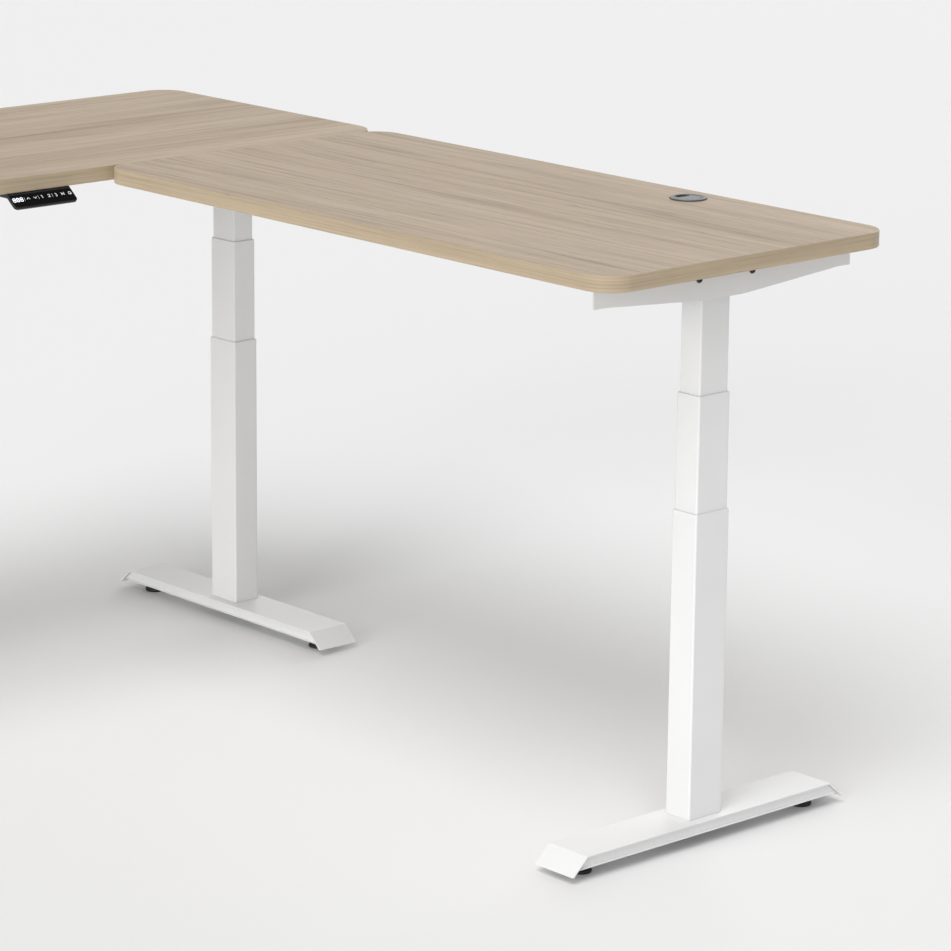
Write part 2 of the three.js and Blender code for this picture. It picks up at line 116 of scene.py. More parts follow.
# Side brackets
BRACKET_SHEET = 2.5 * MM
BRACKET_END_DEPTH = 34 * MM
BRACKET_END_FLAT = 25 * MM
BRACKET_MID_FLAT = 80 * MM
BRACKET_BEND = 3.5 * MM
BRACKET_LIP = 9 * MM
BRACKET_BOLT = {"offset": 56 * MM, "below_roof": 15.5 * MM}
BRACKET_SCREWS = {"x": (-245 * MM, -160 * MM, 160 * MM, 245 * MM), "y": (-24 * MM, 20 * MM)}
MOTOR_SHIFT = 27 * MM
MOTOR_BELL = 9 * MM
NOTCH_HALF = 22 * MM

# Rails, with the parts of their length where screws go up into the board
RAIL_WALL = 1.5 * MM
RAIL_CORNER = 3 * MM
RAIL_SCREWS = (-0.42, -0.17, 0.17, 0.42)
JOINT_SHEET = 3 * MM
JOINT_BOLTS = 14 * MM
SEAM_SCREWS = {"x": (-14 * MM, 14 * MM), "y": (-46 * MM, -20 * MM, 20 * MM, 46 * MM)}
CLIP = {"sheet": 2.5 * MM, "under": 28 * MM, "riser": 4 * MM, "over": 26 * MM, "bend": 1 * MM}
CLIP_SCREWS = {"under": (8 * MM, 20 * MM), "over": 17 * MM}

# Handset: its face slopes down towards the user
HANDSET_SLOPE = math.radians(38)
HANDSET_FACE = 30 * MM
HANDSET_RIM = 4.5 * MM
HANDSET_CORNER = 7 * MM
HANDSET_WIDTH = 125 * MM
HANDSET_DEPTH = 46 * MM
HANDSET_BASE = 7 * MM
HANDSET_TOP = 1.7 * MM
HANDSET_BEZEL = 1.8 * MM
PANEL_PROUD = 0.1 * MM
HANDSET_EAR = (148 * MM, 30 * MM, 2.5 * MM)
KEY_ROW_BELOW = 12.5 * MM
KEY_SIZE = (12.4 * MM, 10.4 * MM)
KEY_CORNER = 1.5 * MM
KEY_GAP = 0.3 * MM
KEY_THICKNESS = 2.4 * MM
KEY_PROUD = 0.5 * MM
POCKET_DEPTH = 2.9 * MM
DISPLAY_SIZE = (23 * MM, 10.4 * MM)
DISPLAY_THICKNESS = 1.6 * MM
PRINT_HEIGHT = 0.08 * MM
PRINT_STROKE = 1.1 * MM
SEPARATOR_WIDTH = 0.45 * MM
SEPARATOR_HEIGHT = 7.2 * MM
KEYS = (
    "key_up", "key_down", "key_memory_1", "key_memory_2", "key_memory_3", "key_memory_set", "key_reminder",
)

# Control box: its case, ears and screws, the vents, and the sockets' place along it, width and height
CASE_LENGTH = 200 * MM
CASE_CORNER = 6 * MM
CASE_EAR = {"width": 44 * MM, "sheet": 3 * MM}
CASE_SCREWS = (109 * MM, 13 * MM)
CASE_LAMP = (80 * MM, 24 * MM)
VENT = {"pitch": 7 * MM, "size": (2.4 * MM, 34 * MM), "count": 17, "shift": -12 * MM}
SOCKETS = (
    (-76 * MM, 26 * MM, 17 * MM),
    (-36 * MM, 18 * MM, 11 * MM),
    (-8 * MM, 18 * MM, 11 * MM),
    (20 * MM, 18 * MM, 11 * MM),
    (62 * MM, 13 * MM, 9 * MM),
)

# Screws: radius and height of the head in millimetres, and the sides of its socket; 4 makes a cross recess
SCREWS = {
    "column_bolt": (6.5, 4.5, 6),
    "bracket_screw": (5, 2.6, 4),
    "gearbox_bolt": (5.6, 3, 6),
    "cover_screw": (3.6, 2.2, 6),
    "motor_screw": (2.6, 1.6, 4),
    "wood_screw": (4.2, 2.4, 4),
    "clip_screw": (3.4, 2, 6),
    "joint_bolt": (5, 3, 6),
    "case_screw": (3.8, 2.2, 4),
    "handset_screw": (3.4, 1.8, 4),
}

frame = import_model()


# ---------------- outlines and solids


def in_mm(points, base=0.0):
    """Points drawn in millimetres, their second coordinate counted from a base."""
    return [(x * MM, base + y * MM) for x, y in points]


def grid(xs, ys, z, middle=(0, 0)):
    """Places at each of some x and y round a middle, all at one height."""
    return [(middle[0] + x, middle[1] + y, z) for x in xs for y in ys]


def arc(centre, radius, start, end, steps=6):
    """Points on an arc, ends included, angles in degrees."""
    angles = [math.radians(start + (end - start) * i / steps) for i in range(steps + 1)]
    return [(centre[0] + radius * math.cos(a), centre[1] + radius * math.sin(a)) for a in angles]


def circle(centre, radius, steps=32):
    return arc(centre, radius, 0, 360, steps)[:-1]


def rounded_rectangle(centre, width, depth, radius, steps=6):
    x = width / 2 - radius
    y = depth / 2 - radius
    points = []
    for side_x, side_y, start in ((1, 1, 0), (-1, 1, 90), (-1, -1, 180), (1, -1, 270)):
        middle = (centre[0] + side_x * x, centre[1] + side_y * y)
        points += arc(middle, radius, start, start + 90, steps)
    return points


def bend(before, corner, after, radius, steps=6):
    """The arc that rounds one corner of a line."""
    corner = Vector(corner)
    back = (Vector(before) - corner).normalized()
    ahead = (Vector(after) - corner).normalized()
    half = back.angle(ahead) / 2
    centre = corner + (back + ahead).normalized() * radius / math.sin(half)
    first = (corner + back * radius / math.tan(half) - centre).normalized()
    last = (corner + ahead * radius / math.tan(half) - centre).normalized()
    return [tuple(centre + first.slerp(last, step / steps) * radius) for step in range(steps + 1)]


def stroke(points, width):
    """The outline of a bent line of constant width."""
    line = [Vector(point) for point in points]
    left, right = [], []
    for i, here in enumerate(line):
        ways = [(b - a).normalized() for a, b in zip(line[max(0, i - 1):i + 1], line[max(1, i):i + 2])]
        along = sum(ways, Vector((0, 0))).normalized()
        across = Vector((-along.y, along.x))
        reach = width / 2 / max(0.4, along.dot(ways[0]))
        left.append(tuple(here + across * reach))
        right.append(tuple(here - across * reach))
    return left + right[::-1]


def level(loop, height):
    return [(x, y, height) for x, y in loop]


def lofted(rings, closed=False):
    """A closed body through rings of equally many points, its ends capped or joined to each other."""
    bm = bmesh.new()
    rows = [[bm.verts.new(point) for point in ring] for ring in rings]
    pairs = list(zip(rows, rows[1:]))
    if closed:
        pairs.append((rows[-1], rows[0]))
    else:
        bm.faces.new(rows[0][::-1])
        bm.faces.new(rows[-1])
    count = len(rings[0])
    for lower, upper in pairs:
        for i in range(count):
            j = (i + 1) % count
            bm.faces.new((lower[i], lower[j], upper[j], upper[i]))
    bmesh.ops.recalc_face_normals(bm, faces=bm.faces)
    return bm


def prism(loops, low, high):
    """A prism whose first loop is its outline and whose other loops are holes."""
    if len(loops) == 1:
        return lofted([level(loops[0], low), level(loops[0], high)])
    bm = bmesh.new()
    flat = [point for loop in loops for point in loop]
    bottom = [bm.verts.new((x, y, low)) for x, y in flat]
    top = [bm.verts.new((x, y, high)) for x, y in flat]
    for a, b, c in tessellate_polygon([[Vector((x, y, 0)) for x, y in loop] for loop in loops]):
        bm.faces.new((top[a], top[b], top[c]))
        bm.faces.new((bottom[c], bottom[b], bottom[a]))
    start = 0
    for loop in loops:
        for i in range(len(loop)):
            j = start + (i + 1) % len(loop)
            bm.faces.new((bottom[start + i], bottom[j], top[j], top[start + i]))
        start += len(loop)
    bmesh.ops.recalc_face_normals(bm, faces=bm.faces)
    return bm


def plate(centre, size, radius, low, high, steps=6):
    """A flat plate or block with rounded corners."""
    return prism([rounded_rectangle(centre, size[0], size[1], radius, steps)], low, high)


def turned(profile, closed=False, steps=40):
    """A turned body about Z; its profile is a list of (radius, height)."""
    return lofted([level(circle((0, 0), radius, steps), height) for radius, height in profile], closed)


def moved(bm, matrix):
    bmesh.ops.transform(bm, matrix=matrix, verts=bm.verts)
    return bm


def soften(bm, width, steps=2, angle=32):
    """Rounds every edge that is sharper than an angle."""
    limit = math.radians(angle)
    edges = [edge for edge in bm.edges if edge.is_manifold and edge.calc_face_angle() > limit]
    bmesh.ops.bevel(
        bm, geom=edges, offset=width, segments=steps, profile=0.5, affect="EDGES", clamp_overlap=True,
    )
    return bm


def in_scene(name, data):
    """A new object, linked to the scene."""
    item = bpy.data.objects.new(name, data)
    bpy.context.scene.collection.objects.link(item)
    return item


def as_mesh(bm):
    mesh = bpy.data.meshes.new("shape")
    bm.to_mesh(mesh)
    bm.free()
    return mesh


def joined(solids):
    """Several bodies as one mesh."""
    whole = bmesh.new()
    for solid in solids:
        mesh = as_mesh(solid)
        whole.from_mesh(mesh)
        bpy.data.meshes.remove(mesh)
    return whole


def carved(bm, tools, operation="DIFFERENCE"):
    """A body with tools cut out of it, or cut down to what it shares with them."""
    body = in_scene("body", as_mesh(bm))
    tool = in_scene("tool", as_mesh(joined(tools)))
    modifier = body.modifiers.new("cut", "BOOLEAN")
    modifier.operation = operation
    modifier.solver = "EXACT"
    modifier.object = tool
    graph = bpy.context.evaluated_depsgraph_get()
    result = bmesh.new()
    result.from_mesh(body.evaluated_get(graph).data)
    for piece in (body, tool):
        mesh = piece.data
        bpy.data.objects.remove(piece)
        bpy.data.meshes.remove(mesh)
    bmesh.ops.remove_doubles(result, verts=result.verts, dist=1e-6)
    return result


# A prism drawn as (x, z) laid along y, and one drawn as (y, z) laid along x
ALONG_Y = Matrix(((1, 0, 0, 0), (0, 0, -1, 0), (0, 1, 0, 0), (0, 0, 0, 1)))
ALONG_X = Matrix(((0, 0, 1, 0), (1, 0, 0, 0), (0, 1, 0, 0), (0, 0, 0, 1)))
UPSIDE_DOWN = Matrix.Rotation(math.pi, 4, "X")
TOWARDS_Y = Matrix.Rotation(-math.pi / 2, 4, "X")


def shift(x=0.0, y=0.0, z=0.0):
    return Matrix.Translation((x, y, z))


# ---------------- pieces


def add_piece(name, bm, material, node, replaces=(), place=None, smooth=40):
    """Makes a piece that rides with a CAD node's body."""
    if place is not None:
        moved(bm, place)
    mesh = as_mesh(bm)
    mesh.name = name
    mesh.materials.append(MATERIALS[material])
    mesh.polygons.foreach_set("use_smooth", [True] * len(mesh.polygons))
    mesh.set_sharp_from_angle(angle=math.radians(smooth))
    piece = in_scene(name, mesh)
    normals = piece.modifiers.new("even_shading", "WEIGHTED_NORMAL")
    normals.keep_sharp = True
    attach(piece, frame["nodes"][node]["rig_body"])
    if replaces:
        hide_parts(*replaces)
    return piece


def extents(node):
    """A node's lowest and highest corner, its size and its middle."""
    low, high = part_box(node)
    return low, high, high - low, (low + high) / 2


def centre_of(node):
    return extents(node)[3]


def screw_head(kind):
    """A domed screw head that stands on z = 0."""
    radius, height, sides = SCREWS[kind]
    radius, height = radius * MM, height * MM
    steps = 24
    socket = []
    for i in range(steps):
        angle = 2 * math.pi * i / steps
        if sides == 4:
            reach = radius * (0.52 if i % 6 in (0, 1, 5) else 0.2)
        else:
            part = math.pi / sides
            reach = radius * 0.5 * math.cos(part) / math.cos((angle + part) % (2 * part) - part)
        socket.append((reach * math.cos(angle), reach * math.sin(angle)))
    rings = [
        level(circle((0, 0), radius, steps), 0),
        level(circle((0, 0), radius, steps), height * 0.45),
        level(circle((0, 0), radius * 0.93, steps), height * 0.78),
        level(circle((0, 0), radius * 0.72, steps), height),
        level(socket, height),
        level(socket, height * 0.35),
    ]
    return lofted(rings)


def add_screws(name, kind, points, node, place=None, material="zinc", facing=UPSIDE_DOWN):
    """A group of equal screws, heads down unless told otherwise."""
    heads = [moved(screw_head(kind), shift(*point) @ facing) for point in points]
    add_piece(name, joined(heads), material, node, place=place)


# ---------------- materials


class Shader:
    """A principled material, and short ways to add nodes to it."""

    def __init__(self, name, color, roughness, metallic=0.0, shine=0.5):
        self.material = bpy.data.materials.new(name)
        self.material.use_nodes = True
        self.tree = self.material.node_tree
        self.surface = self.tree.nodes["Principled BSDF"]
        self.surface.inputs["Base Color"].default_value = (*color, 1)
        self.surface.inputs["Roughness"].default_value = roughness
        self.surface.inputs["Metallic"].default_value = metallic
        self.surface.inputs["Specular IOR Level"].default_value = shine
        self.place = self.tree.nodes.new("ShaderNodeTexCoord").outputs["Object"]

    def link(self, start, end):
        self.tree.links.new(start, end)

    def feed(self, socket, value):
        self.link(value, self.surface.inputs[socket])

    def mapped(self, vector, scale=(1, 1, 1), turn=0.0):
        mapping = self.tree.nodes.new("ShaderNodeMapping")
        mapping.inputs["Scale"].default_value = scale
        mapping.inputs["Rotation"].default_value = (0, 0, turn)
        self.link(vector, mapping.inputs["Vector"])
        return mapping.outputs["Vector"]

    def noise(self, vector, scale=1.0, detail=3.0, roughness=0.5, distortion=0.0):
        node = self.tree.nodes.new("ShaderNodeTexNoise")
        node.inputs["Scale"].default_value = scale
        node.inputs["Detail"].default_value = detail
        node.inputs["Roughness"].default_value = roughness
        node.inputs["Distortion"].default_value = distortion
        self.link(vector, node.inputs["Vector"])
        return node.outputs["Fac"]

    def ramp(self, value, *stops):
        """Stops are (position, colour); a number stands for that grey."""
        node = self.tree.nodes.new("ShaderNodeValToRGB")
        elements = node.color_ramp.elements
        while len(elements) < len(stops):
            elements.new(0.5)
        for element, (position, color) in zip(elements, stops):
            element.position = position
            element.color = (*color, 1) if isinstance(color, tuple) else (color, color, color, 1)
        self.link(value, node.inputs["Fac"])
        return node.outputs["Color"]

    def multiplied(self, first, second):
        node = self.tree.nodes.new("ShaderNodeMix")
        node.data_type = "RGBA"
        node.blend_type = "MULTIPLY"
        node.inputs["Factor"].default_value = 1.0
        self.link(first, node.inputs["A"])
        self.link(second, node.inputs["B"])
        return node.outputs["Result"]

    def bump(self, height, distance, strength=1.0):
        node = self.tree.nodes.new("ShaderNodeBump")
        node.inputs["Distance"].default_value = distance
        node.inputs["Strength"].default_value = strength
        self.link(height, node.inputs["Height"])
        self.feed("Normal", node.outputs["Normal"])


def wood(name, tones, grain_axis, roughness, shine, fineness=1.0, turn=0.0, flat_axis=None):
    """Oak laminate: soft patches of two hues, broad bands, thin light lines, dark flecks and short pores.

    Everything is stretched along grain_axis. Coordinates are turned about Z first, and flat_axis is one
    along which nothing changes. A greater fineness brings the streaks closer together.
    """
    warm, cool, dark = tones
    shader = Shader(name, warm, roughness, shine=shine)
    place = shader.mapped(shader.place, turn=turn)

    def streaks(across, length, detail=3.0, distortion=0.0):
        scale = [across * fineness] * 3
        scale[grain_axis] = length
        if flat_axis is not None:
            scale[flat_axis] = 0.0
        return shader.noise(shader.mapped(place, scale), 1.0, detail, 0.55, distortion)

    hue = shader.ramp(streaks(18.0, 1.6, 2.0, 0.4), (0.38, cool), (0.62, warm))
    bands = shader.ramp(streaks(10.0, 0.6, 3.0, 0.3), (0.3, dark), (0.6, 1.0))
    lines = shader.ramp(streaks(62.0, 1.0, 3.0, 0.2), (0.34, 0.88), (0.46, 1.0), (0.58, 1.01), (0.68, 1.09))
    flecks = shader.ramp(streaks(190.0, 4.5, 3.0, 0.2), (0.30, 0.78), (0.46, 0.99), (0.66, 1.07))
    pores = shader.ramp(streaks(700.0, 28.0, 2.0), (0.32, 0.82), (0.42, 1.0))
    fine = shader.multiplied(flecks, pores)
    color = shader.multiplied(shader.multiplied(hue, bands), shader.multiplied(lines, fine))
    shader.feed("Base Color", color)
    shader.feed("Roughness", shader.ramp(lines, (0.9, roughness + 0.06), (1.0, roughness)))
    shader.bump(fine, 0.00006, 0.6)
    return shader.material


def powder_coat(name, color):
    """Powder coat: faint orange peel and a barely uneven tone."""
    shader = Shader(name, color, 0.42)
    peel = shader.noise(shader.place, 520.0, 2.0)
    cloud = shader.noise(shader.place, 6.0, 2.0)
    duller = tuple(channel * 0.97 for channel in color)
    shader.feed("Base Color", shader.ramp(cloud, (0.3, duller), (0.7, color)))
    shader.feed("Roughness", shader.ramp(peel, (0.3, 0.38), (0.7, 0.48)))
    shader.bump(peel, 0.00003, 0.5)
    return shader.material


def grained(name, color, roughness, grain, depth, metallic=0.0, contrast=0.8, spread=0.06, shine=0.5):
    """Moulded plastic or bare metal: a fine speckle in tone, gloss and relief."""
    shader = Shader(name, color, roughness, metallic, shine)
    speckle = shader.noise(shader.place, grain, 3.0, 0.55)
    darker = tuple(channel * contrast for channel in color)
    shader.feed("Base Color", shader.ramp(speckle, (0.3, darker), (0.7, color)))
    gloss = ((0.3, max(0.02, roughness - spread)), (0.7, roughness + spread))
    shader.feed("Roughness", shader.ramp(speckle, *gloss))
    shader.bump(speckle, depth, 0.5)
    return shader.material


def glowing(name, color, strength):
    """A light-emitting segment behind smoked glass, a little uneven."""
    shader = Shader(name, color, 0.4)
    shader.surface.inputs["Emission Strength"].default_value = strength
    dimmer = tuple(channel * 0.85 for channel in color)
    shader.feed("Emission Color", shader.ramp(shader.noise(shader.place, 900.0), (0.3, dimmer), (0.7, color)))
    return shader.material


# Warm tone, cool tone, and what the dark bands multiply them by
OAK = (0.486, 0.388, 0.292), (0.476, 0.382, 0.287), (0.86, 0.835, 0.80)
OAK_BAND = (0.480, 0.385, 0.267), (0.458, 0.374, 0.255), (0.84, 0.82, 0.80)
STEEL = (0.62, 0.63, 0.65)

# The band's coordinates are turned by 45 degrees, so that its streaks run along all four sides
MATERIALS = {
    "oak_x": wood("oak_laminate_along_x", OAK, 0, 0.57, 0.2),
    "oak_y": wood("oak_laminate_along_y", OAK, 1, 0.57, 0.2),
    "band": wood("oak_edge_band", OAK_BAND, 0, 0.3, 0.35, 2.2, -math.pi / 4, 1),
    "white": powder_coat("white_powder_coat", (0.80, 0.80, 0.80)),
    "zinc": grained("zinc_plated_steel", STEEL, 0.34, 900.0, 0.00002, metallic=1.0),
    "aluminium": grained("cast_aluminium", (0.58, 0.59, 0.60), 0.5, 420.0, 0.0001, metallic=1.0),
    "motor": grained("motor_black", (0.03, 0.03, 0.033), 0.38, 700.0, 0.00002),
    "black": grained("black_plastic", (0.022, 0.022, 0.024), 0.55, 1100.0, 0.00003),
    "glide": grained("glide_black", (0.02, 0.02, 0.022), 0.48, 900.0, 0.00003),
    "gloss": grained("gloss_black", (0.004, 0.004, 0.0045), 0.10, 60.0, 0.0, spread=0.03, shine=0.08),
    "shell": grained("handset_shell", (0.014, 0.014, 0.0155), 0.28, 900.0, 0.00001, shine=0.45),
    "window": grained("display_window", (0.004, 0.004, 0.006), 0.07, 60.0, 0.0, spread=0.02, shine=0.12),
    "grey": grained("grey_plastic", (0.078, 0.080, 0.092), 0.42, 1200.0, 0.00002),
    "print": grained("white_print", (0.92, 0.92, 0.92), 0.5, 300.0, 0.0, contrast=0.95),
    "lit": glowing("lit_segment", (0.9, 0.93, 1.0), 0.9),
}


# ---------------- boards


def board_loop(low, high, inset):
    """The plan outline of a board, moved inwards."""
    size = high - low
    middle = (low + high) / 2
    return rounded_rectangle(
        middle.xy, size.x - 2 * inset, size.y - 2 * inset, BOARD_CORNER - inset, 16,
    )


def edge_band(low, high):
    """The thin band round a board, its two outer edges rounded."""
    inner = board_loop(low, high, BAND_THICKNESS)
    profile = arc((BAND_ROUND, low.z + BAND_ROUND), BAND_ROUND, 270, 180, 5)
    profile += arc((BAND_ROUND, high.z - BAND_ROUND), BAND_ROUND, 180, 90, 5)
    rings = [level(board_loop(low, high, inset), height) for inset, height in profile]
    return lofted([level(inner, low.z + BAND_STEP), *rings, level(inner, high.z - BAND_STEP)], closed=True)


def build_board(node, grain, holes=()):
    low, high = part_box(node)
    panel = prism([board_loop(low, high, BAND_THICKNESS), *holes], low.z, high.z)
    add_piece(f"{node}_panel", panel, grain, node, replaces=[node])
    add_piece(f"{node}_edge_band", edge_band(low, high), "band", node)


def build_boards():
    build_board("main_top", "oak_x")
    build_board("return_top", "oak_y", [circle(centre_of("grommet_ring").xy, GROMMET_HOLE, 64)])


# ---------------- legs


def leg_place(leg):
    """Puts a leg, drawn round the origin, in its place."""
    centre = centre_of(f"{leg}_outer_tube")
    return shift(centre.x, centre.y) @ Matrix.Rotation(LEG_TURN[leg], 4, "Z")


def sizes(node, leg):
    """A node's length along the foot, its width across it, and its lowest and highest point."""
    low, high, size, _ = extents(node)
    if LEG_TURN[leg]:
        return size.y, size.x, low.z, high.z
    return size.x, size.y, low.z, high.z


def sleeve(outer, inner, low, high):
    """A tube between two outlines with equally many points."""
    rings = [level(outer, low), level(outer, high), level(inner, high), level(inner, low)]
    return lofted(rings, closed=True)


def build_tube(leg, stage):
    node = f"{leg}_{stage}_tube"
    length, width, low, high = sizes(node, leg)
    outer = rounded_rectangle((0, 0), length, width, TUBE_CORNER)
    trim = 2 * TUBE_WALL
    inner = rounded_rectangle((0, 0), length - trim, width - trim, TUBE_CORNER - TUBE_WALL)
    tube = soften(sleeve(outer, inner, low, high), 0.35 * MM)
    add_piece(f"{leg}_{stage}_stage", tube, "white", node, replaces=[node], place=leg_place(leg))


def build_liner(leg, outside, inside):
    """The plastic slide liner at the top of a tube, round the tube that runs in it."""
    length, width, _, top = sizes(f"{leg}_{outside}_tube", leg)
    inner_length, inner_width, _, _ = sizes(f"{leg}_{inside}_tube", leg)
    trim = 2 * TUBE_WALL + 2 * LINER_CLEARANCE
    room = 2 * LINER_CLEARANCE
    outer = rounded_rectangle((0, 0), length - trim, width - trim, TUBE_CORNER - TUBE_WALL)
    inner = rounded_rectangle((0, 0), inner_length + room, inner_width + room, TUBE_CORNER)
    high = top - LINER_BELOW_RIM
    liner = sleeve(outer, inner, high - LINER_DEPTH, high)
    add_piece(f"{leg}_{outside}_liner", liner, "grey", f"{leg}_{outside}_tube", place=leg_place(leg))


def foot_slope(top):
    return math.atan2(top - FOOT_TIP, FOOT_SLOPE_RUN)


def foot_path(length, top, inset, radius):
    """A face of the foot's bent sheet, from tip to tip."""
    slope = foot_slope(top)
    tip = length / 2 - inset / math.sin(slope)
    shoulder = length / 2 - FOOT_SLOPE_RUN - inset * math.tan(slope / 2)
    turn = bend((tip, FOOT_TIP), (shoulder, top - inset), (-shoulder, top - inset), radius)
    half = [(tip, FOOT_TIP), *turn]
    return half + [(-x, z) for x, z in reversed(half)]


def foot_side(length, top, inset):
    """The outline of a strip that closes the foot's side, this far inside the sheet's outer face."""
    slope = foot_slope(top)
    shoulder = length / 2 - FOOT_SLOPE_RUN - inset * math.tan(slope / 2)
    head = top - inset
    reach = shoulder + (head - FOOT_WALL_BOTTOM) / math.tan(slope)
    return [(-reach, FOOT_WALL_BOTTOM), (reach, FOOT_WALL_BOTTOM), (shoulder, head), (-shoulder, head)]


def foot_wall(length, width, top, side):
    """One side of the foot: a web, a strip on it with a groove above, and a hem along its bottom edge."""
    outer = width / 2 - FOOT_WALL_INSET
    half = FOOT_GROOVE / 2
    web = prism([foot_side(length, top, FOOT_SHEET / 2)], -half, half)
    moved(web, shift(y=side * (outer - 3 * half)) @ ALONG_Y)
    outline = foot_side(length, top, FOOT_SHEET + FOOT_GROOVE)
    strip = soften(prism([outline], -half, half), 0.4 * MM)
    moved(strip, shift(y=side * (outer - half)) @ ALONG_Y)
    hem_half = outline[1][0] - FOOT_HEM["height"] / math.tan(foot_slope(top))
    section = arc((0, 0), FOOT_HEM["height"] / 2, -90, 90, 8)
    squeeze = Matrix.Diagonal((2 * FOOT_HEM["proud"] / FOOT_HEM["height"] * side, 1, 1, 1))
    hem = moved(prism([section], -hem_half, hem_half), ALONG_X @ squeeze)
    bmesh.ops.recalc_face_normals(hem, faces=hem.faces)
    moved(hem, shift(y=side * outer, z=FOOT_WALL_BOTTOM + FOOT_HEM["height"] / 2))
    return [web, strip, hem]


def foot_boss(x, top):
    """A threaded boss welded under the sheet."""
    low = BOSS_BOTTOM
    profile = [
        (BOSS_BORE, low + 0.8 * MM), (BOSS_BORE + 0.8 * MM, low), (BOSS_RADIUS - 1 * MM, low),
        (BOSS_RADIUS, low + 1 * MM), (BOSS_RADIUS, top - 2 * MM), (BOSS_RADIUS + 1.5 * MM, top),
        (BOSS_BORE, top),
    ]
    return moved(turned(profile, closed=True), shift(x=x))


def build_foot(leg):
    node = f"{leg}_foot"
    length, width, _, top = sizes(node, leg)
    place = leg_place(leg)
    outside = foot_path(length, top, 0, FOOT_BEND)
    inside = foot_path(length, top, FOOT_SHEET, FOOT_BEND - FOOT_SHEET)
    sheet = moved(prism([outside + inside[::-1]], -width / 2, width / 2), ALONG_Y)
    add_piece(f"{node}_cover", soften(sheet, 0.5 * MM), "white", node, replaces=[node], place=place)
    walls = foot_wall(length, width, top, -1) + foot_wall(length, width, top, 1)
    add_piece(f"{node}_walls", joined(walls), "white", node, place=place)

    glide_x = abs((place.inverted() @ centre_of(f"{leg}_glide_a")).x)
    bosses = [foot_boss(x, top - FOOT_SHEET) for x in (-glide_x, glide_x)]
    add_piece(f"{node}_bosses", joined(bosses), "zinc", node, place=place)

    plate_node = f"{leg}_foot_plate"
    plate_length, plate_width, low, high = sizes(plate_node, leg)
    stiffener = soften(plate((0, 0), (plate_length, plate_width), 4 * MM, low, high), 0.4 * MM)
    add_piece(f"{plate_node}_stiffener", stiffener, "zinc", plate_node, replaces=[plate_node], place=place)
    x, y = COLUMN_BOLTS
    add_screws(f"{leg}_column_bolts", "column_bolt", grid((-x, x), (-y, y), low), node, place)


def build_glide(leg, end):
    """A levelling glide: rubber-edged pad with a hexagon collar on a threaded stem."""
    node = f"{leg}_glide_{end}"
    low, high, _, middle = extents(node)
    place = shift(middle.x, middle.y, low.z)
    radius = (high.x - low.x) / 2
    rim = in_mm([(-2.2, 0), (-0.9, 0.5), (-0.3, 1.4), (-0.3, 2), (-0.8, 2.3), (0, 2.6), (0, 4.4)])
    rim += in_mm([(-0.6, 5.2), (-2, 5.7)])
    pad = turned([(radius + x, z) for x, z in rim] + in_mm([(11, 7.4), (9.2, 7.8)]))
    collar = soften(prism([circle((0, 0), 9 * MM, 6)], 7.4 * MM, 12.4 * MM), 0.6 * MM)
    add_piece(f"{node}_pad", joined([pad, collar]), "glide", node, replaces=[node], place=place)

    pitch, start = GLIDE_THREAD["pitch"], GLIDE_THREAD["start"]
    thread = [(4.2 * MM, start - 1 * MM)]
    for turn in range(int((high.z - low.z - start - 1 * MM) / pitch)):
        base = start + turn * pitch
        thread += [(GLIDE_THREAD["crest"], base), (GLIDE_THREAD["root"], base + pitch / 2)]
    thread.append((3.6 * MM, high.z - low.z))
    add_piece(f"{node}_stem", turned(thread, steps=20), "zinc", node, place=place, smooth=70)


def bracket_section(width, depth, roof):
    """A bracket's folded section as (y, z): outer wall, flange against the board and inner lip."""
    y = width / 2
    inside = BRACKET_BEND - BRACKET_SHEET
    outer_top, inner_top = (-y, roof), (y, roof)
    section = [(-y, roof - depth), *bend((-y, roof - depth), outer_top, inner_top, BRACKET_BEND)]
    section += bend(outer_top, inner_top, (y, roof - BRACKET_LIP), BRACKET_BEND)
    section += [(y, roof - BRACKET_LIP), (y - BRACKET_SHEET, roof - BRACKET_LIP)]
    y -= BRACKET_SHEET
    ceiling = roof - BRACKET_SHEET
    section += bend((y, roof - BRACKET_LIP), (y, ceiling), (-y, ceiling), inside)
    section += bend((y, ceiling), (-y, ceiling), (-y, roof - depth), inside)
    return section + [(-y, roof - depth)]


def bracket_sheet(length, width, depth, roof):
    """The folded sheet, its outer wall cut to a taper towards both ends."""
    half = length / 2
    sheet = moved(prism([bracket_section(width, depth, roof)], -half, half), ALONG_X)
    shoulder = half - BRACKET_END_FLAT
    low, end_low = roof - depth, roof - BRACKET_END_DEPTH
    beyond, below = half + 5 * MM, low - 5 * MM
    wedges = []
    for side in (-1, 1):
        start = side * BRACKET_MID_FLAT / 2
        outline = [
            (start, low), (side * shoulder, end_low), (side * beyond, end_low), (side * beyond, below),
            (start, below),
        ]
        wedge = prism([outline], -4 * MM, 4 * MM)
        wedges.append(moved(wedge, shift(y=BRACKET_SHEET / 2 - width / 2) @ ALONG_Y))
    return carved(sheet, wedges)


